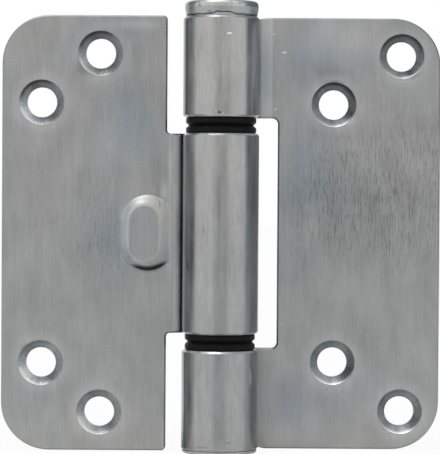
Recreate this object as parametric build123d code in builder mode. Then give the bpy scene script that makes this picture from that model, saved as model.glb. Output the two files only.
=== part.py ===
from build123d import *
from math import acos, asin, atan2, degrees, hypot, radians, tan
import os

# Butt hinge opened flat, in millimetres.
# +Z runs up the barrel's axis, +X points to the frame leaf, and +Y points away from the
# countersunk faces. The origin is on the axis, level with the leaves' lower edges.

# Sheet and leaves
leaf_height = 88.5
sheet = 3.0
corner_radius = 9.75
frame_leaf_reach = 45.0       # axis to the outer edge
door_leaf_reach = 44.5
frame_face_depth = 4.5        # depth of the countersunk face behind the axis
door_face_depth = -0.6
frame_bend_margin = 1.0       # from the window's edge to where the face turns to the barrel
door_bend_margin = 1.1        # from the shoulder's edge to that corner
frame_bend_radius = 20.0      # inside radius of that bend, which hardly turns
door_bend_radius = 0.4
blanked_edge = 0.3            # rounding that the blanking die leaves on the front edges

# Barrel
pin_radius = 4.0
bush_wall = 0.7
running_clearance = 0.05      # radial, between a bush and the pin
barrel_inset = 0.3            # the knuckles' outer ends stop short of the leaves' edges
inset_clearance = 1.35        # from where that inset runs out to the frame leaf's bend
door_knuckle_length = 40.6
seam_gap = 0.25               # between the rolled end of the sheet and the leaf
rolled_edge = 0.9             # rounding of the rolled end
knuckle_edge = 0.4            # rounding of the knuckles' ends

# Clearances of each leaf round the other's knuckle
frame_window_clearance = 3.95  # from the knuckle to the inner edge of the frame leaf's window
door_shoulder_clearance = 3.25  # from the knuckle to the door leaf's edge above and below it
window_corner = 1.2
shoulder_corner = 0.8

# Flanged bushes
flange_radius = 7.15
flange_thickness = 1.65
flange_play = 0.05            # between the two flanges that meet in a gap
groove_depth = 0.55           # chamfer that makes half of the groove between two flanges
flange_edge = 0.3

# Pin and plug
head_radius = 7.5
head_foot_radius = 7.2
head_height = 3.15
head_gap = 0.2                # under the head, round the neck that stands on the knuckle
neck_radius = 6.7
head_top_radius = 7.4
head_widest = 0.6             # where the head is widest, as a share of its height
head_rounding = 0.75
nick_width = 4.7              # shallow nick in the head's lower edge, in front
nick_rise = 0.55
nick_depth = 0.5
nick_shift = 0.4
pin_chamfer = 0.6
plug_radius = 7.6
plug_rim = 0.55
plug_edge = 0.25
seat_length = 6.0             # how far the pin's collar and the plug go into the outer eyes
seat_clearance = 2.3          # from there to the bush in that eye
pin_end_gap = 1.0

# Screw holes
hole_radius = 3.05
countersink_radius = 4.6
countersink_angle = 90
outer_margin = 7.75           # from a leaf's upper and lower edges to its outer holes
inner_margin = 17.75
frame_outer_setback = 7.95    # from the frame leaf's outer edge to those holes
frame_inner_setback = 21.85
door_outer_setback = 19.95
door_inner_setback = 8.0

# Pressed boss on the door leaf
boss_cut_clearance = 0.5      # from the leaf's bend to its side there, which is cut off square
boss_offset = 4.4             # from that side to the middle of its foot
boss_width = 11.0
boss_height = 15.7
boss_rise = 1.3
boss_top_offset = 5.15        # from its square side to the middle of its flat top
boss_top_width = 6.5
boss_top_height = 11.7
boss_crown = 1.2              # rounding of its top edge
boss_foot = 0.4               # rounding of its foot
boss_root = 0.6               # how far its sides run on into the sheet
boss_hollow_slope = 45        # of the sides of the hollow behind it, from square to the leaf

# Sizes that follow
mid_height = leaf_height / 2
bore_radius = pin_radius + running_clearance + bush_wall
knuckle_radius = bore_radius + sheet
knuckle_gap = 2 * flange_thickness + flange_play
door_knuckle_top = mid_height + door_knuckle_length / 2
door_knuckle_foot = mid_height - door_knuckle_length / 2
window_top = door_knuckle_top + knuckle_gap
window_foot = door_knuckle_foot - knuckle_gap
barrel_foot = barrel_inset
barrel_top = leaf_height - barrel_inset
frame_window_reach = knuckle_radius + frame_window_clearance
door_shoulder_reach = knuckle_radius + door_shoulder_clearance
sleeve_length = window_foot - barrel_foot - seat_length - seat_clearance
frame_bend_reach = frame_window_reach - frame_bend_margin
door_bend_reach = door_shoulder_reach - door_bend_margin
inset_end = frame_bend_reach - inset_clearance
boss_cut_reach = door_bend_reach + boss_cut_clearance
boss_reach = boss_cut_reach + boss_offset
boss_top_reach = boss_cut_reach + boss_top_offset
outer_rise = mid_height - outer_margin
inner_rise = mid_height - inner_margin
touch = 0.001                 # within which an edge counts as lying at a place

os.makedirs("parts", exist_ok=True)


def rolled_section(reach, face, bend, radius):
    """End view of a leaf that lies towards +X: flat, bend, slope and rolled eye."""
    slope = asin(bore_radius / hypot(bend, face)) - atan2(face, bend)
    start = 90 - degrees(slope)
    turn = 360 - degrees(acos((bore_radius - seam_gap) / knuckle_radius))
    with BuildSketch(Plane.XY) as section:
        with BuildLine():
            inside = CenterArc((0, 0), bore_radius, start, turn)
            outside = CenterArc((0, 0), knuckle_radius, start, turn)
            front = FilletPolyline(
                (reach, face), (bend, face), inside @ 0, radius=radius + sheet)
            back_bend = (bend + sheet * tan(slope / 2), face + sheet)
            back = FilletPolyline(
                (reach, face + sheet), back_bend, outside @ 0, radius=radius)
            Line(inside @ 1, outside @ 1)
            Line(front @ 0, back @ 0)
        make_face()
        rolled_end = section.vertices().sort_by_distance(outside @ 1)[0]
        fillet(rolled_end, rolled_edge)
    return section.sketch


def front_edges(leaf, face, reach):
    """The leaf's edges that lie in its countersunk face, at least that far from the axis."""
    edges = leaf.edges().filter_by_position(Axis.Y, face - touch, face + touch)
    return edges.filter_by(lambda edge: abs((edge @ 0.5).X) > reach - touch)


def knuckle_rims(leaf, *heights):
    """The outer edges of the rolled knuckles at those heights."""
    rims = leaf.edges().filter_by(GeomType.CIRCLE)
    rims = rims.filter_by(lambda edge: abs(edge.radius - knuckle_radius) < touch)
    return rims.filter_by(lambda edge: any(abs((edge @ 0).Z - z) < touch for z in heights))


def screw_holes(face, outer_reach, inner_reach):
    """Four countersunk holes, sunk from the face: an outer and an inner pair."""
    with Locations(Plane((0, face, mid_height), x_dir=(1, 0, 0), z_dir=(0, -1, 0))):
        with Locations(
            (outer_reach, outer_rise), (outer_reach, -outer_rise),
            (inner_reach, inner_rise), (inner_reach, -inner_rise),
        ):
            CounterSinkHole(hole_radius, countersink_radius, counter_sink_angle=countersink_angle)


# Frame leaf: one sheet with a window for the door's knuckle, rolled into two knuckles
with BuildPart() as frame_leaf:
    add(rolled_section(frame_leaf_reach, frame_face_depth, frame_bend_reach, frame_bend_radius))
    extrude(amount=leaf_height)
    with BuildSketch(Plane.XZ) as frame_blank:
        with BuildLine():
            Polyline(
                (-knuckle_radius, barrel_foot),
                (knuckle_radius, barrel_foot),
                (inset_end, 0),
                (frame_leaf_reach, 0),
                (frame_leaf_reach, leaf_height),
                (inset_end, leaf_height),
                (knuckle_radius, barrel_top),
                (-knuckle_radius, barrel_top),
                (-knuckle_radius, window_top),
                (frame_window_reach, window_top),
                (frame_window_reach, window_foot),
                (-knuckle_radius, window_foot),
                close=True,
            )
        make_face()
        fillet(frame_blank.vertices().group_by(Axis.X)[-1], corner_radius)
        inner = frame_blank.vertices().filter_by(
            lambda v: abs(v.X - frame_window_reach) < touch)
        fillet(inner, window_corner)
    extrude(amount=2 * knuckle_radius, both=True, mode=Mode.INTERSECT)
    blanked = front_edges(frame_leaf, frame_face_depth, frame_window_reach - window_corner / 2)
    chamfer(blanked, blanked_edge)
    rims = knuckle_rims(frame_leaf, barrel_foot, window_foot, window_top, barrel_top)
    chamfer(rims, knuckle_edge)
    screw_holes(
        frame_face_depth, frame_leaf_reach - frame_outer_setback,
        frame_leaf_reach - frame_inner_setback)
frame_leaf.part.label = "frame_leaf"
export_step(frame_leaf.part, "parts/frame_leaf.step")


def boss_plane(height, reach=boss_top_reach):
    """Plane over the door leaf's face, at that height and reach, looking at the viewer."""
    return Plane(
        (-reach, door_face_depth - height, mid_height), x_dir=(1, 0, 0), z_dir=(0, -1, 0))


def pressed_boss():
    """Oval boss with a long slope towards the bend, where it is cut off square."""
    run_on = 1 + boss_root / boss_rise
    root_width = boss_top_width + (boss_width - boss_top_width) * run_on
    root_height = boss_top_height + (boss_height - boss_top_height) * run_on
    root_reach = boss_top_reach + (boss_reach - boss_top_reach) * run_on
    with BuildPart() as boss:
        with BuildSketch(boss_plane(-boss_root, root_reach)):
            SlotOverall(root_height, root_width, rotation=90)
        with BuildSketch(boss_plane(boss_rise)):
            SlotOverall(boss_top_height, boss_top_width, rotation=90)
        loft()
        cut = Plane((-boss_cut_reach, 0, 0), x_dir=(0, 1, 0), z_dir=(-1, 0, 0))
        split(bisect_by=cut, keep=Keep.TOP)
    return boss.part


# Door leaf: one sheet with a tongue between two shoulders, rolled into the middle knuckle
with BuildPart() as door_leaf:
    door_section = rolled_section(door_leaf_reach, door_face_depth, door_bend_reach, door_bend_radius)
    add(door_section.mirror(Plane.YZ))
    extrude(amount=leaf_height, dir=(0, 0, 1))
    with BuildSketch(Plane.XZ) as door_blank:
        with BuildLine():
            Polyline(
                (knuckle_radius, door_knuckle_foot),
                (knuckle_radius, door_knuckle_top),
                (-door_shoulder_reach, door_knuckle_top),
                (-door_shoulder_reach, leaf_height),
                (-door_leaf_reach, leaf_height),
                (-door_leaf_reach, 0),
                (-door_shoulder_reach, 0),
                (-door_shoulder_reach, door_knuckle_foot),
                close=True,
            )
        make_face()
        fillet(door_blank.vertices().group_by(Axis.X)[0], corner_radius)
        shoulders = door_blank.vertices().filter_by(
            lambda v: abs(v.X + door_shoulder_reach) < touch)
        fillet(shoulders.group_by(Axis.Z)[0] + shoulders.group_by(Axis.Z)[-1], shoulder_corner)
        fillet(shoulders.group_by(Axis.Z)[1:-1], window_corner)
    extrude(amount=2 * knuckle_radius, both=True, mode=Mode.INTERSECT)
    chamfer(front_edges(door_leaf, door_face_depth, door_shoulder_reach), blanked_edge)
    chamfer(knuckle_rims(door_leaf, door_knuckle_foot, door_knuckle_top), knuckle_edge)

    # Pressed boss: its sides run on into the sheet, and a smaller hollow lies behind it
    add(pressed_boss())
    crown = door_leaf.edges().filter_by_position(
        Axis.Y, door_face_depth - boss_rise - touch, door_face_depth - boss_rise + touch)
    fillet(crown, boss_crown)
    foot = front_edges(door_leaf, door_face_depth, door_shoulder_reach)
    foot = foot.filter_by_position(Axis.X, -boss_reach - boss_width, -door_shoulder_reach)
    foot = foot.filter_by_position(Axis.Z, mid_height - boss_height, mid_height + boss_height)
    fillet(foot, boss_foot)
    with BuildSketch(boss_plane(-sheet)):
        SlotOverall(boss_top_height, boss_top_width, rotation=90)
    extrude(amount=boss_rise, taper=boss_hollow_slope, mode=Mode.SUBTRACT)
    screw_holes(
        door_face_depth, door_outer_setback - door_leaf_reach,
        door_inner_setback - door_leaf_reach)
door_leaf.part.label = "door_leaf"
export_step(door_leaf.part, "parts/door_leaf.step")


# Bushes: a sleeve in the eye and a flange outside it, grooved where two flanges meet
def flanged_bush(seat, side):
    """Bush on the knuckle end at height seat, its flange on that side (1 up, -1 down)."""
    flange = seat + side * flange_thickness
    with BuildPart() as bush:
        with BuildSketch(Plane.XZ):
            with BuildLine():
                Polyline(
                    (pin_radius + running_clearance, seat - side * sleeve_length),
                    (bore_radius, seat - side * sleeve_length),
                    (bore_radius, seat),
                    (flange_radius - flange_edge, seat),
                    (flange_radius, seat + side * flange_edge),
                    (flange_radius, flange - side * groove_depth),
                    (flange_radius - groove_depth, flange),
                    (pin_radius + running_clearance, flange),
                    close=True,
                )
            make_face()
        revolve(axis=Axis.Z)
    return bush


bush_seats = (
    ("upper_frame_bush", window_top, -1),
    ("upper_door_bush", door_knuckle_top, 1),
    ("lower_door_bush", door_knuckle_foot, -1),
    ("lower_frame_bush", window_foot, 1),
)
for name, seat, side in bush_seats:
    bush = flanged_bush(seat, side)
    bush.part.label = name
    export_step(bush.part, f"parts/{name}.step")


# Pin: a flat round head on the upper knuckle, a collar pressed into its eye, and the shaft
pin_foot = barrel_foot + seat_length + pin_end_gap
head_foot = barrel_top + head_gap
head_top = barrel_top + head_height
with BuildPart() as hinge_pin:
    with BuildSketch(Plane.XZ) as pin_profile:
        with BuildLine():
            Polyline(
                (0, pin_foot),
                (pin_radius - pin_chamfer, pin_foot),
                (pin_radius, pin_foot + pin_chamfer),
                (pin_radius, barrel_top - seat_length),
                (bore_radius, barrel_top - seat_length),
                (bore_radius, barrel_top),
                (neck_radius, barrel_top),
                (neck_radius, head_foot),
                (head_foot_radius, head_foot),
                (head_radius, barrel_top + head_height * head_widest),
                (head_top_radius, head_top),
                (0, head_top),
                close=True,
            )
        make_face()
        rim = pin_profile.vertices().sort_by_distance((head_top_radius, head_top))[0]
        fillet(rim, head_rounding)
    revolve(axis=Axis.Z)
    with BuildSketch(Plane.XZ.offset(head_radius - nick_depth)):
        with BuildLine():
            nick = ThreePointArc(
                (nick_shift - nick_width / 2, head_foot),
                (nick_shift, head_foot + nick_rise),
                (nick_shift + nick_width / 2, head_foot),
            )
            Line(nick @ 1, nick @ 0)
        make_face()
    extrude(amount=2 * nick_depth, mode=Mode.SUBTRACT)
hinge_pin.part.label = "hinge_pin"
export_step(hinge_pin.part, "parts/hinge_pin.step")


# Plug that closes the lower knuckle, with a thin rim under it
with BuildPart() as lower_plug:
    with BuildSketch(Plane.XZ):
        with BuildLine():
            Polyline(
                (0, barrel_foot - plug_rim),
                (plug_radius - plug_edge, barrel_foot - plug_rim),
                (plug_radius, barrel_foot - plug_rim + plug_edge),
                (plug_radius, barrel_foot),
                (bore_radius, barrel_foot),
                (bore_radius, barrel_foot + seat_length - plug_edge),
                (bore_radius - plug_edge, barrel_foot + seat_length),
                (0, barrel_foot + seat_length),
                close=True,
            )
        make_face()
    revolve(axis=Axis.Z)
lower_plug.part.label = "lower_plug"
export_step(lower_plug.part, "parts/lower_plug.step")
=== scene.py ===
# %% [markdown]
# # A steel butt hinge, lying open
#
# The hinge has two leaves of 3 mm sheet, which are rolled into knuckles round one pin. Black bushes keep
# the knuckles apart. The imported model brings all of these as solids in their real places, so nothing is
# modelled twice here: this lesson gives the solids light, a camera and a finish.

# %% The frame
import bpy
import math
from mathutils import Matrix, Vector


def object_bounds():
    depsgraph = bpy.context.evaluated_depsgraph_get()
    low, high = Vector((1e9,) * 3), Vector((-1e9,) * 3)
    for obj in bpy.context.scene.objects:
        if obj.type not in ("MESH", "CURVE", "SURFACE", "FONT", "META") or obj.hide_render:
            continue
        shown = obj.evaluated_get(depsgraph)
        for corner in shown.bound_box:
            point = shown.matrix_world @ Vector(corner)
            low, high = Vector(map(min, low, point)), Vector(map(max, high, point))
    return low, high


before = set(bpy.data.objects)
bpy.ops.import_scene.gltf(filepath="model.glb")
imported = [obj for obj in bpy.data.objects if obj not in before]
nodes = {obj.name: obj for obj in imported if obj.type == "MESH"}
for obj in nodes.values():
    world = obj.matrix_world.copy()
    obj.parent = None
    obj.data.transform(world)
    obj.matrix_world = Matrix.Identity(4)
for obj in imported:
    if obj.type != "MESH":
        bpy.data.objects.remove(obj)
cad_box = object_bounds()

# %% [markdown]
# Sizes on a drawing of a hinge are in millimetres, but Blender's unit is a metre. Every number could be
# written in metres, with many zeros. One factor and a small function for points keep the numbers below as
# they are on the drawing. The leaves stand on height 0, so a leaf's highest point is its height.

# %% Millimetres
MM = 0.001
LEAF_HEIGHT = round(max(vertex.co.z for vertex in nodes["frame_leaf"].data.vertices) / MM, 3)
MID_HEIGHT = LEAF_HEIGHT / 2


def point(x, y, z):
    return Vector((x, y, z)) * MM


foot = cad_box[0].z
print("the hinge is", [round(side / MM, 2) for side in cad_box[1] - cad_box[0]], "mm")
print("its foot is at", round(foot / MM, 2), "mm and its leaves are", LEAF_HEIGHT, "mm high")

# %% [markdown]
# ## The camera
#
# The hinge was photographed from about half a metre with a long lens, a little above its middle and nearly
# square on. A camera could look at a target through a constraint, but a constraint fights with other
# views. Here its axes are worked out once: where it looks, and the slight roll that leans the barrel.

# %% Camera
FRAME_HEIGHT = 454
FOCAL_PIXELS = 2446
SENSOR = 36

camera_data = bpy.data.cameras.new("camera")
camera_data.sensor_width = SENSOR
camera_data.lens = FOCAL_PIXELS * SENSOR / FRAME_HEIGHT
camera_data.clip_start = 0.01
camera_data.clip_end = 20
camera = bpy.data.objects.new("camera", camera_data)
bpy.context.scene.collection.objects.link(camera)
bpy.context.scene.camera = camera

camera_place = point(-0.1, -498, 53.75)
tilt = math.radians(0.94)
roll = math.radians(0.37)
looking = Matrix.Rotation(math.radians(90) - tilt, 4, "X") @ Matrix.Rotation(roll, 4, "Z")
camera.matrix_world = Matrix.Translation(camera_place) @ looking
print("lens", round(camera_data.lens, 1), "mm at", round(camera_place.length / MM), "mm")

# %% [markdown]
# ## Sums on sockets
#
# A finish is a sum of many small things: grain, haze, stains, scratches. Wiring each sum by hand hides it.
# This class wraps a node's socket, so that `haze * 0.3 + grain` adds the Math nodes by itself. Every other
# kind of node comes from one method, which takes its settings and what goes into its sockets.

# %% The wire class
class Wire:
    """A socket in a node tree that can be used in Python sums."""

    def __init__(self, tree, socket=None):
        self.tree = tree
        self.socket = socket

    def node(self, kind, settings=None, sockets=None, out=0):
        """Adds a node: its settings first, then the values and links of its sockets."""
        made = self.tree.nodes.new("ShaderNode" + kind)
        for name, value in (settings or {}).items():
            setattr(made, name, value)
        for name, value in (sockets or {}).items():
            if isinstance(value, Wire):
                self.tree.links.new(value.socket, made.inputs[name])
            else:
                made.inputs[name].default_value = value
        return Wire(self.tree, made.outputs[out] if made.outputs else None)

    def math(self, operation, *values):
        return self.node("Math", {"operation": operation}, dict(enumerate(values)))

    def __add__(self, other):
        return self.math("ADD", self, other)

    def __radd__(self, other):
        return self.math("ADD", other, self)

    def __sub__(self, other):
        return self.math("SUBTRACT", self, other)

    def __rsub__(self, other):
        return self.math("SUBTRACT", other, self)

    def __mul__(self, other):
        return self.math("MULTIPLY", self, other)

    def __rmul__(self, other):
        return self.math("MULTIPLY", other, self)

    def __truediv__(self, other):
        return self.math("DIVIDE", self, other)

    def __rtruediv__(self, other):
        return self.math("DIVIDE", other, self)

    def __pow__(self, other):
        return self.math("POWER", self, other)

    def __rpow__(self, other):
        return self.math("POWER", other, self)


print("sums ready")

# %% [markdown]
# A few words of the shop's language make the sums below short. A value between two limits rises softly
# from 0 to 1, a size drops its sign, a length comes from two sides of a right angle, and the lesser or the
# greater of two values is kept. The soft rise could be a colour ramp, but a ramp has no limits that can be
# read at a glance.

# %% Helpers for values
def rising(value, low, high):
    return value.node(
        "MapRange",
        {"interpolation_type": "SMOOTHSTEP"},
        {"Value": value, "From Min": low, "From Max": high, "To Min": 0.0, "To Max": 1.0},
    )


def falling(value, low, high):
    return 1 - rising(value, low, high)


def size_of(value):
    return value.math("ABSOLUTE", value)


def length(across, along):
    return (across * across + along * along) ** 0.5


def lesser(one, other):
    return one.math("MINIMUM", one, other)


def greater(one, other):
    return one.math("MAXIMUM", one, other)


print("helpers for values ready")

# %% [markdown]
# A colour that goes through a Math node comes out grey, so colours have two words of their own. One goes
# over from a colour to another, as a stain does, and one makes a colour lighter or darker, as wear does.

# %% Helpers for colours
def mixed(share, one, other):
    """One colour, going over to the other by a share from 0 to 1."""
    one, other = (tint if isinstance(tint, Wire) else (*tint, 1.0) for tint in (one, other))
    return share.node("Mix", {"data_type": "RGBA"}, {0: share, 6: one, 7: other}, out=2)


def toned(colour, strength):
    """A colour made lighter or darker by a value round 1."""
    return strength.node("VectorMath", {"operation": "SCALE"}, {0: colour, "Scale": strength})


print("helpers for colours ready")

# %% [markdown]
# ## The light
#
# Bright metal shows little of its own colour and a lot of the room. In the photograph the barrel is bright
# where it faces the photographer's side of the room, a little darker in its middle, where it mirrors the
# camera, dark at about fifty degrees to each side, and bright once more at its left edge, where it mirrors
# the lit wall behind. Many lamps and cards could build such a room, but their edges would show in the
# metal. So the room is a tent of soft light made of these few parts, with cooler shade between them.

# %% The tent
WARM_LIGHT = (1.0, 0.968, 0.932)
COOL_SHADE = (0.80, 1.0, 1.14)

world = bpy.data.worlds.new("studio")
bpy.context.scene.world = world
world.use_nodes = True
world.node_tree.nodes.clear()
room = Wire(world.node_tree)

direction = room.node("TexCoord")
right, behind, upward = (room.node("SeparateXYZ", None, {0: direction}, out=n) for n in range(3))
tent_front = rising(0 - behind - right * 0.12, -0.10, 0.18)
tent_back = rising(behind - right * 0.35, 0.84, 1.0)
tent_roof = rising(upward, 0.5, 0.95)
camera_shade = rising(0 - behind + right * 0.07, 0.86, 0.97)
brightness = 0.20 + tent_front * 0.88 + tent_back * 0.65 - camera_shade * 0.30 + tent_roof * 0.25
tint = mixed(greater(tent_front, tent_back), COOL_SHADE, WARM_LIGHT)
tent_light = room.node("Background", None, {"Color": tint, "Strength": brightness})
print("the tent has", len(world.node_tree.nodes), "nodes")

# %% [markdown]
# The picture's background is white paper. It could be lit until it is white, but that light would fall on
# the hinge too. The camera's own rays see plain white instead, and all other rays see the tent.

# %% The backdrop
WHITE = (1.0, 1.0, 1.0, 1.0)

backdrop = room.node("Background", None, {"Color": WHITE, "Strength": 1.0})
seen = room.node("LightPath")
room.node("OutputWorld", None, {0: room.node("MixShader", None, {0: seen, 1: tent_light, 2: backdrop})})
print("the room has", len(world.node_tree.nodes), "nodes")

# %% [markdown]
# One soft lamp hangs nearly overhead. It gives the hinge its soft shadow and whitens what faces upward:
# the upper slope of the pressed boss, the head's rim and the lower half of each countersink. A sun would
# do this with a hard shadow. A square of 0.32 m keeps the shadow soft.

# %% The lamp
def soft_lamp(name, place, target, side, watts):
    """A square lamp at a place, turned to its target."""
    data = bpy.data.lights.new(name, "AREA")
    data.shape = "SQUARE"
    data.size = side
    data.energy = watts
    lamp = bpy.data.objects.new(name, data)
    lamp.location = place
    lamp.rotation_euler = (target - place).to_track_quat("-Z", "Y").to_euler()
    bpy.context.scene.collection.objects.link(lamp)
    return lamp


overhead = soft_lamp("overhead_lamp", point(-160, -150, 720), point(0, 0, 44), 0.32, 0.85)
print("lamp of", overhead.data.energy, "watts,", round(overhead.data.size / MM), "mm wide")

# %% [markdown]
# The floor is a plain pale sheet under the hinge's foot. One square face is enough, because nothing bends
# it.

# %% The floor
FLOOR_HALF = 3.0

floor_mesh = bpy.data.meshes.new("floor")
corners = [(-1, -1), (1, -1), (1, 1), (-1, 1)]
floor_mesh.from_pydata([(x * FLOOR_HALF, y * FLOOR_HALF, foot) for x, y in corners], [], [(0, 1, 2, 3)])
floor = bpy.data.objects.new("floor", floor_mesh)
bpy.context.scene.collection.objects.link(floor)
print("floor at", round(foot / MM, 2), "mm")

# %% [markdown]
# The camera sees the floor nearly white, like the backdrop, and a share of its real shading stays, which
# keeps the hinge's shadow. In front of the hinge a painted shade darkens the floor's colour, as a camera
# stand would. This painted shade widens towards the camera like a wedge, and the metal mirrors it. A real
# stand in the room could cast it, but it would also show in the barrel.

# %% Floor paint
PALE_FLOOR = (0.92, 0.91, 0.89)
PAINTED_SHADE_FLOOR = (0.66, 0.66, 0.66)
GLOW_SHARE = 0.94

floor_paint = bpy.data.materials.new("floor_paint")
floor_paint.use_nodes = True
floor_paint.node_tree.nodes.clear()
paint = Wire(floor_paint.node_tree)
floor_place = paint.node("TexCoord", out=3)
floor_x, floor_y = (paint.node("SeparateXYZ", None, {0: floor_place}, out=n) for n in range(2))
sideways = size_of(floor_x) / (0 - floor_y)
painted_stand_shade = falling(sideways, 0.22, 0.50) * falling(floor_y, -0.03, 0.0)
matt = paint.node("BsdfDiffuse", None, {"Color": mixed(painted_stand_shade, PALE_FLOOR, PAINTED_SHADE_FLOOR)})
glow = paint.node("Emission", None, {"Color": WHITE, "Strength": 1.0})
share = paint.node("LightPath") * GLOW_SHARE
paint.node("OutputMaterial", None, {0: paint.node("MixShader", None, {0: share, 1: matt, 2: glow})})
floor.data.materials.append(floor_paint)
print("floor paint has", len(floor_paint.node_tree.nodes), "nodes")

# %% [markdown]
# ## Places on the part
#
# Every mark sits at a place on the part. It could be painted on an unwrapped image, but then each change
# of a size would move it. So the finish reads the place in millimetres and the way that the surface faces.
# Both are taken in the piece's own space, and a mark stays put when the door leaf swings.

# %% Where on the part
class Place:
    """What a finish knows of a point on the surface."""

    def __init__(self, material):
        material.use_nodes = True
        material.node_tree.nodes.clear()
        self.start = start = Wire(material.node_tree)
        metres = start.node("TexCoord", out=3)
        self.mm = start.node("VectorMath", {"operation": "SCALE"}, {0: metres, "Scale": 1 / MM})
        self.x, self.y, self.z = (start.node("SeparateXYZ", None, {0: self.mm}, out=n) for n in range(3))
        facing = start.node("TexCoord", out=1)
        sides = [start.node("SeparateXYZ", None, {0: facing}, out=n) for n in range(3)]
        self.right, self.back, self.up = sides
        self.from_axis = length(self.x, self.y)

    def noise(self, width, height, seed=0.0, detail=2.0):
        """Noise round 0: as high as it is wide for a stain, and high for a streak along the axis."""
        cells = (1 / width, 1 / width, 1 / height)
        place = self.start.node(
            "VectorMath", {"operation": "MULTIPLY_ADD"}, {0: self.mm, 1: cells, 2: (seed, seed, seed)}
        )
        return self.start.node("TexNoise", None, {"Vector": place, "Scale": 1.0, "Detail": detail}) - 0.5

    def patch(self, x, z, half_width, half_height):
        """1 in the middle of an upright oval, falling to 0 at its outline."""
        across = (self.x - x) / half_width
        along = (self.z - z) / half_height
        return falling(length(across, along), 0.0, 1.0)

    def patches(self, rows):
        """Several ovals, each with its own strength, of which the strongest counts."""
        strongest = 0.0
        for *oval, strength in rows:
            strongest = greater(self.patch(*oval) * strength, strongest)
        return strongest

    def marks(self, rows):
        """Several ovals on the front, added up: above 0 they are lighter than the metal, below 0 darker."""
        total = 0
        for *oval, strength in rows:
            total = self.patch(*oval) * strength + total
        return total * falling(self.back, -0.20, 0.0)


print("places ready")

# %% [markdown]
# Each finish ends in one shader. A scratch could be cut into the mesh, but it is far finer than the mesh
# is, so it is relief in the shader. The relief is a height in millimetres: a scratch that is 0.004 high is
# four thousandths of a millimetre deep, and the shader turns that into slopes by itself.

# %% One shader
def finished(at, colour, roughness, height, metallic=1.0, **constants):
    """Puts the sums into one shader, with the height in millimetres."""
    relief = at.start.node("Bump", None, {"Strength": 1.0, "Distance": MM, "Height": height})
    sockets = {"Base Color": colour, "Metallic": metallic, "Roughness": roughness, "Normal": relief}
    metal_or_not = at.start.node("BsdfPrincipled", None, {**sockets, **constants})
    at.start.node("OutputMaterial", None, {0: metal_or_not})


print("shader ready")

# %% [markdown]
# ## Plated sheet
#
# The leaves are bright zinc over rolled steel. A single grey would look like paint. What makes it look like
# plated sheet is layered: a grey metal, a bluish haze in soft clouds where the passivation is thicker, fine
# streaks along the rolling direction, and rubbed marks. These are the metals of the layers, and the near
# black used for painted shade.

# %% Colours of the plating
WARM_ZINC = (0.392, 0.403, 0.408)
BLUE_ZINC = (0.318, 0.355, 0.388)
ROLLED_ZINC = (0.398, 0.406, 0.414)
TURNED_ZINC = (0.330, 0.350, 0.360)
# Near black for painted shade in the countersinks, under the boss and along the pin head's lower edge.
PAINTED_SHADE_BLACK = (0.020, 0.020, 0.019)
print("zinc from", min(BLUE_ZINC), "to", max(ROLLED_ZINC))

# %% [markdown]
# Rolling leaves streaks along the sheet, from half a millimetre to a few hundredths wide, and handling
# leaves specks, smears and clouds. Each could be an image, but noise of its own size is enough, stretched
# along the sheet where the rolls stretched it. All of them change how dark the metal is. The streaks and
# the clouds also change its height and how rough it is, from the same noise, as they do on real sheet.

# %% Streaks and haze
def sheet_grain(at):
    streak = at.noise(0.5, 14, seed=3.0, detail=3.0)
    fine = at.noise(0.22, 3.0, seed=7.0)
    cloud = at.noise(5, 9, seed=5.0, detail=3.0)
    return streak, fine, cloud


def grain_tone(at, streak, fine, cloud):
    speck = at.noise(0.32, 0.38, seed=17.0)
    smear = at.noise(1.6, 6, seed=23.0, detail=3.0)
    return streak * 0.17 + fine * 0.20 + cloud * 0.38 + speck * 0.24 + smear * 0.16


def haze_share(at, hazes):
    return rising(at.noise(14, 20) * 1.6 + at.patches(hazes), 0.05, 0.95)


print("grain ready")

# %% [markdown]
# Where a leaf was rubbed along its height, it carries short dark scratches. They could be drawn one by one,
# but there are hundreds. The crests of two long narrow noises, of which the greater counts, give as many
# short lines as are wanted, and the rubbed ovals say where they lie.

# %% Scratches
def short_scratches(at, rubs):
    broad = at.noise(0.17, 1.9, seed=11.0, detail=1.0)
    narrow = at.noise(0.15, 4.5, seed=15.0, detail=1.0) - 0.01
    return rising(greater(broad, narrow), 0.05, 0.16) * lesser(at.patches(rubs) * 1.6, 1.0)


print("scratches ready")

# %% [markdown]
# ## Countersinks
#
# A countersink is turned with a cutter, which leaves fine rings. The holes of a leaf come in two pairs, one
# near its upper and lower edges and one nearer its middle. Each hole could have a finish of its own. But
# the least of a point's distances from all four tells how far it is from its own hole, so one sum serves
# every hole of the leaf.

# %% Holes and rings
SINK = 4.6
OUTER_MARGIN = 7.75
INNER_MARGIN = 17.75
RING_PITCH = 0.24


def four_holes(outer_x, inner_x):
    """The middles of a leaf's holes, from how far its two pairs lie from the axis."""
    outer = [(outer_x, OUTER_MARGIN), (outer_x, LEAF_HEIGHT - OUTER_MARGIN)]
    inner = [(inner_x, INNER_MARGIN), (inner_x, LEAF_HEIGHT - INNER_MARGIN)]
    return outer + inner


def nearest_hole(at, holes):
    nearest = None
    for x, z in holes:
        distance = length(at.x - x, at.z - z)
        nearest = distance if nearest is None else lesser(nearest, distance)
    return nearest


def turned_rings(at, distance):
    return at.start.math("SINE", distance * (2 * math.pi / RING_PITCH))


print("countersinks", 2 * SINK, "mm wide, rings", RING_PITCH, "mm apart")

# %% [markdown]
# The walls of a countersink mirror the whole room, each its own part. A mirror alone gets this nearly
# right, so the rest is painted light and shade. Each leaf has a short list of leans: which way a wall
# faces, and how much lighter or darker it is painted than bare turned metal. A straight lean is broad, and
# a lean to a corner is narrow. In the lower holes the upper walls, which face down, are painted lighter and
# carry less painted shade.

# %% Painted light on the countersinks' walls
STRAIGHT = (0.25, 0.60)
CORNER = (0.75, 0.97)


def in_lower_half(at):
    return falling(at.z, 30, 60)


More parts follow.
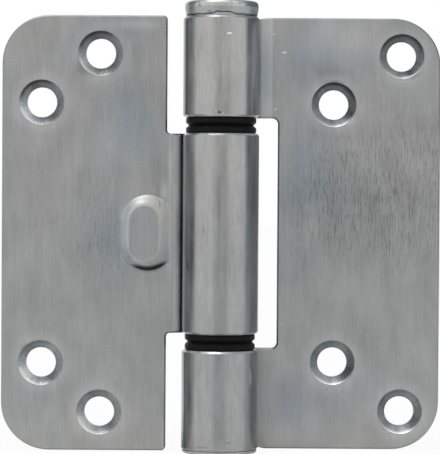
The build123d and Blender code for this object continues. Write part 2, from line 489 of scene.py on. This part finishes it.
def wall_painted_light_and_tone(at, cone, distance, walls, painted_gleam):
    """Painted light and shade by facing, random tone, and a painted highlight on the lower outer edge."""
    tone = cone * in_lower_half(at) * falling(at.up, -0.6, -0.3) * 0.40
    for lean_right, lean_up, strength in walls:
        limits = CORNER if lean_right and lean_up else STRAIGHT
        tone = tone + cone * rising(at.right * lean_right + at.up * lean_up, *limits) * strength
    tone = tone + cone * at.noise(0.34, 0.30, seed=19.0, detail=4.0) * 1.35
    return tone + cone * rising(distance, 4.26, 4.46) * rising(at.up, 0.10, 0.45) * painted_gleam


print("walls face straight above", STRAIGHT[0], "and into a corner above", CORNER[0])

# %% [markdown]
# The upper half of each cone faces down and is given painted shade, darkest along its outer lip, which is
# nearly black in the photograph, and the lip of the lower half is given a painted highlight. The painted
# shade is a near black mixed over the metal, while the painted highlight is the metal itself made lighter.

# %% Painted shade in the countersinks
def sunk_painted_shade_and_highlight(at, cone, distance, colour, lip_tilt, lip_low, lip_high):
    """The colour with painted shade in the cone and on its upper lip, and a painted highlight on its lower
    lip.
    """
    lower_half = in_lower_half(at)
    shade = cone * falling(at.up, -0.65, 0.15)
    colour = mixed(shade * (0.30 - lower_half * 0.22), colour, PAINTED_SHADE_BLACK)
    painted_highlight_lip = cone * rising(distance, 3.80, 4.35) * rising(at.up + at.right * lip_tilt, 0.35, 0.62)
    colour = toned(colour, 1 + painted_highlight_lip * 0.45)
    painted_shade_lip = cone * rising(distance, 3.60, 4.35) * falling(at.up - at.right * lip_tilt, lip_low, lip_high)
    return mixed(painted_shade_lip * (0.74 - lower_half * 0.40), colour, PAINTED_SHADE_BLACK)


print("dirt ready")

# %% [markdown]
# ## The barrel
#
# The rolled eyes are drawn smoother than the flats, which is why the barrel mirrors the room in clearer
# bands. The bands come mostly from the room, and some are painted along the knuckles as marks. The finish
# adds the sheet's own unevenness, long ripples from the rolling and mottling between them, and painted
# light: painted shade on the sides, painted highlights on the rims, and a slope by the bend painted
# lighter. The barrel could have a material slot of its own. But it is one sheet with the leaf, so the
# finish knows it by its distance from the axis and goes over softly from one to the other.

# %% Barrel
BARREL_LIMITS = (7.9, 8.6)
SLOPE_LIMITS = (7.8, 7.95, 10.2, 10.7)


def barrel_tone_and_painted_light(at):
    """How light the knuckles are, with painted light and shade, and how high their ripples stand in
    millimetres.
    """
    barrel = falling(at.from_axis, *BARREL_LIMITS)
    ripple = at.noise(1.3, 16, seed=9.0, detail=3.0)
    mottle = at.noise(1.1, 3.5, seed=13.0, detail=3.0)
    # Painted shade on the sides, by which way they face, and a painted highlight on the rims, which face up
    # or down.
    side = rising(at.right * at.right, 0.36, 0.52) * rising(at.right, -0.98, -0.90)
    rim = rising(at.up * at.up, 0.25, 0.45)
    tone = barrel * (ripple * 0.25 + mottle * 0.26 - side * 0.27 + rim * 0.45)
    return tone, barrel * (ripple * 0.030 + mottle * 0.012)


# The slope between barrel and flat is painted lighter where it faces right.
def slope_painted_light(at):
    inner_low, inner_high, outer_low, outer_high = SLOPE_LIMITS
    beside = rising(at.from_axis, inner_low, inner_high) * falling(at.from_axis, outer_low, outer_high)
    return beside * rising(at.right, 0.30, 0.45)


print("barrel ready")

# %% [markdown]
# Now the layers are put together. Each leaf could have a finish written out in full, but both are the same
# sheet. So one function makes the finish, and a leaf brings its holes, its clouds of haze, its rubbed
# places and its marks, with what else lies on it alone.

# %% The sheet's finish
def sheet_finish(name, holes, hazes, rubs, marks, walls, painted_gleam, lip, lines, painted_shade=None):
    """Plated sheet. Lines add painted light and shade to its tone; painted shade says where it is near
    black.
    """
    material = bpy.data.materials.new(name)
    at = Place(material)
    streak, fine, cloud = sheet_grain(at)
    scratch = short_scratches(at, rubs)
    distance = nearest_hole(at, holes)
    flat = rising(at.from_axis, 8.2, 9.2)
    front = falling(at.back, 0.4, 0.8)
    cone = falling(distance, SINK - 0.12, SINK + 0.08) * front
    halo = rising(distance, SINK - 0.1, SINK + 0.2) * falling(distance, SINK + 0.2, SINK + 2.6) * front
    barrel, barrel_height = barrel_tone_and_painted_light(at)

    colour = mixed(haze_share(at, hazes), WARM_ZINC, BLUE_ZINC)
    colour = mixed(flat, ROLLED_ZINC, colour)
    colour = mixed(cone, colour, TURNED_ZINC)
    strength = 1 + grain_tone(at, streak, fine, cloud) - scratch * 0.30 + halo * flat * 0.15
    # The tone also carries painted light and shade: on the countersinks' walls, the barrel's sides and
    # rims, the slope by the bend, many marks, and the lines.
    strength = strength + wall_painted_light_and_tone(at, cone, distance, walls, painted_gleam) + barrel + slope_painted_light(at)
    strength = strength + at.marks(marks) + lines(at)
    colour = sunk_painted_shade_and_highlight(at, cone, distance, toned(colour, strength), *lip)
    if painted_shade is not None:
        colour = mixed(painted_shade(at), colour, PAINTED_SHADE_BLACK)

    rings = turned_rings(at, distance) * cone
    height = streak * 0.005 + fine * 0.003 + cloud * 0.012 - scratch * 0.004 + rings * 0.001
    roughness = 0.24 + flat * 0.13 + cloud * 0.08 + streak * 0.10 + scratch * 0.1
    finished(at, colour, roughness, height + barrel_height)
    return material


print("sheet finish ready")

# %% [markdown]
# ## Door leaf
#
# The door leaf is the left one. A press has set an oval boss in it. A straight-sided oval is a line with
# a width, so the distance from it needs only how far a point lies beyond the line's ends. Under the boss,
# in the sharp corner of its foot, lies a black crescent of painted shade, round its left half a dark line
# of painted shade, and on the edge of its top a light line of painted highlight.

# %% Painted shade and highlight of the boss
BOSS_FOOT = (-14.8, 5.5, 7.85)
BOSS_TOP = (-15.55, 3.25, 5.85)


def from_boss(at, x, half_width, half_height):
    """Distance from an upright oval with straight sides at mid height, below 0 inside it."""
    beyond = greater(size_of(at.z - MID_HEIGHT) - (half_height - half_width), 0.0)
    return length(at.x - x, beyond) - half_width


def boss_painted_shade(at):
    # A black crescent of painted shade on the lower slope, where it faces down.
    foot_line = from_boss(at, *BOSS_FOOT)
    crescent = rising(foot_line, -1.5, -0.8) * falling(foot_line, -0.30, -0.10)
    return crescent * falling(at.z - at.x * 0.10, 38.9, 40.2) * falling(at.up, -0.35, -0.10) * 0.97


def boss_painted_lines(at):
    foot_line = from_boss(at, *BOSS_FOOT)
    top_line = from_boss(at, *BOSS_TOP)
    # The dark line round the foot is painted shade, and the light line along the top's edge is a painted
    # highlight.
    dark = rising(foot_line, -0.15, 0.0) * falling(foot_line, 0.05, 0.30) * 0.22
    light = rising(top_line, -0.45, -0.15) * falling(top_line, -0.05, 0.25) * 0.16
    return (light - dark) * falling(at.x, -12.0, -10.6) * falling(at.back, -0.6, -0.3)


print("the boss is", 2 * BOSS_FOOT[2], "mm high and", 2 * BOSS_FOOT[1], "mm wide at its foot")

# %% [markdown]
# The rest is given in lists. Each row is an oval: the place of its middle along and up the leaf, its half
# width, its half height and its strength. Haze lies in the leaf's middle and up to its top edge, and the
# left side and the foot are warmer. Marks are lighter or darker places, some broad and some a mere nick.
# The walls are the leans of the countersinks' painted light and shade, and the lip says how far its
# painted shade is turned aside and between which limits it fades.

# %% Door leaf
door_holes = four_holes(-24.55, -36.5)
door_hazes = [(-25.6, 82.6, 15, 9, 0.7), (-18.5, 65.3, 11, 17, 0.8), (-20.5, 42.9, 12, 15, 0.8)]
door_rubs = [(-25, 45, 12, 20, 0.4)]
# On the door leaf the first two rows, narrow along the bend, are a painted highlight.
flat_marks = [
    (-10.3, 44, 0.9, 21, 0.16), (-10.2, 58, 0.9, 9, 0.22), (-12.8, 57, 2.6, 9, -0.14),
    (-16.5, 75, 6, 9, -0.10), (-18, 86.6, 9, 1.6, 0.22), (-21.5, 64, 7, 10, 0.15),
]
# The broad rows paint light and shade on the boss's slopes; the two narrow dark ones are nicks.
boss_marks_and_painted_light = [
    (-19.6, 44.2, 1.5, 8.6, 0.34), (-15.0, 38.9, 4.5, 1.7, 0.12), (-15.7, 51.2, 2.2, 0.8, -0.20),
    (-11.5, 52.7, 1.3, 3.0, 0.30), (-12.4, 50.2, 0.25, 1.2, -0.35), (-11.3, 50.4, 0.22, 1.0, -0.30),
]
# Marks in and round the countersinks are partly painted light and shade on their walls.
sink_marks_and_painted_light = [(-32.8, 71, 0.9, 2.6, -0.2), (-27.2, 78.0, 3.4, 3.2, -0.45), (-39.2, 20.4, 1.9, 1.9, -0.6)]
# The two long rows are painted reflection bands; the short ones are marks.
knuckle_marks_and_painted_bands = [
    (-5.7, 44.5, 0.9, 25, -0.42), (-3.37, 45.1, 0.12, 1.7, -0.55),
    (-0.3, 50, 0.6, 14, -0.17), (1.9, 37, 0.15, 3.0, -0.20),
]
door_marks_and_painted_light = flat_marks + boss_marks_and_painted_light + sink_marks_and_painted_light + knuckle_marks_and_painted_bands
door_painted_walls = [(1, 0, 0.80), (0, 1, -0.30), (1, 1, 0.78), (-1, -1, 0.12), (1, -1, -0.20)]
door_painted_lip = (0.45, -0.62, -0.30)

door_sheet = sheet_finish(
    "plated_sheet_door", door_holes, door_hazes, door_rubs, door_marks_and_painted_light, door_painted_walls,
    painted_gleam=0.25, lip=door_painted_lip, lines=boss_painted_lines, painted_shade=boss_painted_shade,
)
nodes["door_leaf"].material_slots[0].material = door_sheet
print("door leaf:", len(door_marks_and_painted_light), "marks,", len(door_sheet.node_tree.nodes), "nodes")

# %% [markdown]
# ## Frame leaf
#
# The frame leaf is the right one. It is bluish at the top and along the window, and its middle was rubbed
# along its height, which left a field of short dark scratches. Its knuckles are the upper and the lower
# one. Between the upper knuckle and the bend, a strip of the leaf carries a painted reflection of a lighter
# part of the room. The strip follows the bend, so it is given by its two edges and not by an oval.

# %% Frame leaf
frame_holes = four_holes(37.05, 23.15)
# The narrow second row, beside the upper knuckle, paints the bend's bluish reflection.
frame_hazes_and_bend_reflection = [
    (20.5, 79.9, 17, 12, 0.9), (9.2, 78, 3.5, 12, 1.0), (18, 58, 13, 22, 0.8),
    (16, 38, 11, 20, 0.6), (14, 10, 11, 12, 0.85),
]
frame_rubs = [(36, 53, 15, 25, 1.0), (25, 53, 13, 23, 0.8), (17, 50, 7, 20, 0.5), (42, 55, 8, 22, 0.9)]
flat_marks = [(29, 50, 17, 17, -0.16), (24, 84, 13, 7, 0.24)]
# Marks in and round the countersinks are partly painted light and shade on their walls.
sink_marks_and_painted_light = [
    (27.1, 70.9, 0.9, 2.6, 0.3), (19.3, 70.75, 0.9, 2.6, -0.2), (23.15, 75.25, 3.0, 0.8, -0.5),
    (23.15, 77.2, 5, 2.4, -0.12), (20.4, 73.5, 1.7, 1.7, 0.45), (25.6, 67.7, 2.6, 1.6, 0.35),
    (38.6, 77.2, 3.2, 1.6, -0.45), (34.4, 5.1, 1.7, 1.7, -0.4),
]
nicks = [
    (12.9, 81.4, 0.8, 0.28, 1.3), (11.2, 69.7, 0.30, 0.30, 1.2), (10.8, 85.2, 0.5, 0.3, 0.5),
    (11.5, 69.5, 0.35, 0.22, -0.45), (12.5, 25.5, 0.3, 0.2, 0.6), (22.0, 12.3, 0.22, 0.22, -0.8),
]
# On both knuckles the long upright rows are painted reflection bands; the flat and small ones are marks.
upper_knuckle_marks_and_painted_bands = [
    (0, 78, 2.2, 10, 0.10), (-0.1, 76, 0.16, 5.5, -0.22), (6.3, 78, 1.5, 14, 0.62),
    (7.75, 78, 0.6, 14, -0.45), (0, 87.75, 0.22, 0.28, -0.75), (1.55, 84.55, 0.80, 0.28, 1.9),
    (-0.35, 68.7, 0.60, 0.40, -0.9), (0.3, 68.5, 0.25, 0.25, 0.8),
]
lower_knuckle_marks_and_painted_bands = [
    (-7.3, 10, 1.0, 13, 0.60), (-5.9, 10, 0.8, 13, -0.25), (6.2, 15.3, 0.35, 3, 0.6),
    (1.9, 2.3, 0.7, 0.2, -0.5), (-3.6, 1.3, 1.8, 0.22, -0.35), (3.2, 8.8, 0.22, 0.2, -0.45),
]
frame_marks_and_painted_light = flat_marks + sink_marks_and_painted_light + nicks + upper_knuckle_marks_and_painted_bands + lower_knuckle_marks_and_painted_bands
frame_painted_walls = [(1, 0, 0.10), (0, 1, -0.02), (1, 1, 0.35), (-1, 1, -0.38), (-1, -1, 0.22)]
frame_painted_lip = (0.0, -0.45, 0.05)


# A painted reflection: the strip beside the upper knuckle is painted lighter.
def bend_painted_reflection(at):
    return rising(at.x, 7.9, 8.3) * falling(at.x, 10.35, 10.65) * rising(at.z, 60, 66) * 0.30


frame_sheet = sheet_finish(
    "plated_sheet_frame", frame_holes, frame_hazes_and_bend_reflection, frame_rubs, frame_marks_and_painted_light, frame_painted_walls,
    painted_gleam=0.95, lip=frame_painted_lip, lines=bend_painted_reflection,
)
nodes["frame_leaf"].material_slots[0].material = frame_sheet
print("frame leaf:", len(frame_marks_and_painted_light), "marks,", len(frame_sheet.node_tree.nodes), "nodes")

# %% [markdown]
# ## The pin
#
# The pin is turned and tumbled before it is plated, so its head is brighter and smoother than the leaves
# and carries small dents and stains. Where its head faces up, it carries a painted highlight. A wavy line
# of painted shade lies just above the head's lower edge, and rises in the middle, over the nick. The line
# could be a curve on the mesh, but it has no depth. So it is a height along the axis that noise makes
# uneven, and what lies near that height is painted near black.

# %% Plated pin
HEAD_ZINC = (0.480, 0.488, 0.494)
STAINED_ZINC = (0.20, 0.20, 0.20)
SEAM_HEIGHT = 88.56
SEAM_RISE = 0.36
NICK_SHIFT = 0.4

pin_finish = bpy.data.materials.new("plated_pin_bright")
at = Place(pin_finish)
dents = at.noise(0.9, 0.7)
stain = rising(at.noise(1.6, 1.1, seed=4.0, detail=3.0), 0.10, 0.22)
smudges = at.marks([
    (3.6, 90.6, 0.5, 0.3, -0.5), (-4.4, 90.1, 0.4, 0.3, -0.4), (-6.2, 89.7, 0.9, 0.6, -0.35),
])
# Where the head faces up it is painted lighter, as a painted highlight.
painted_highlight_crown = rising(at.up, 0.30, 0.65)
colour = toned(mixed(stain * 0.5, HEAD_ZINC, STAINED_ZINC), 1 + smudges + painted_highlight_crown * 0.40)

over_nick = falling(size_of(at.x - NICK_SHIFT), 1.2, 2.6)
seam = SEAM_HEIGHT + over_nick * SEAM_RISE + at.noise(1.1, 5, seed=6.0) * 0.4
# Painted shade along the seam under the head's edge.
painted_shade_seam = falling(size_of(at.z - seam), 0.06, 0.20)
colour = mixed(painted_shade_seam * 0.85, colour, PAINTED_SHADE_BLACK)
finished(at, colour, 0.28 + stain * 0.25, dents * 0.05)
for name in ("hinge_pin", "lower_plug"):
    nodes[name].material_slots[0].material = pin_finish
print("pin and plug dressed, the seam at", SEAM_HEIGHT, "mm")

# %% [markdown]
# ## The bushes
#
# The bushes are black moulded polymer. Plain black would look like a hole in the picture. A moulding is
# never flat black: it has a fine grain, a soft sheen, and the flange has picked up a little zinc dust.

# %% Black polymer
POLYMER_BLACK = (0.006, 0.006, 0.006)
ZINC_DUST = (0.20, 0.20, 0.20)

polymer = bpy.data.materials.new("black_polymer_moulded")
at = Place(polymer)
grain = at.noise(0.25, 0.18, detail=3.0)
dust = rising(at.noise(0.35, 0.16, seed=2.0, detail=1.0), 0.20, 0.28)
colour = mixed(dust * 0.35, POLYMER_BLACK, ZINC_DUST)
sheen = {"Specular IOR Level": 0.10}
finished(at, colour, 0.40 + grain * 0.2, grain * 0.012, metallic=0.0, **sheen)
for name in ("upper_frame_bush", "upper_door_bush", "lower_door_bush", "lower_frame_bush"):
    nodes[name].material_slots[0].material = polymer
print("bushes dressed")

# %% [markdown]
# ## The end
#
# The view transform stays plain, so that a colour renders about as it is written.

# %% View transform
bpy.context.scene.view_settings.view_transform = "Standard"
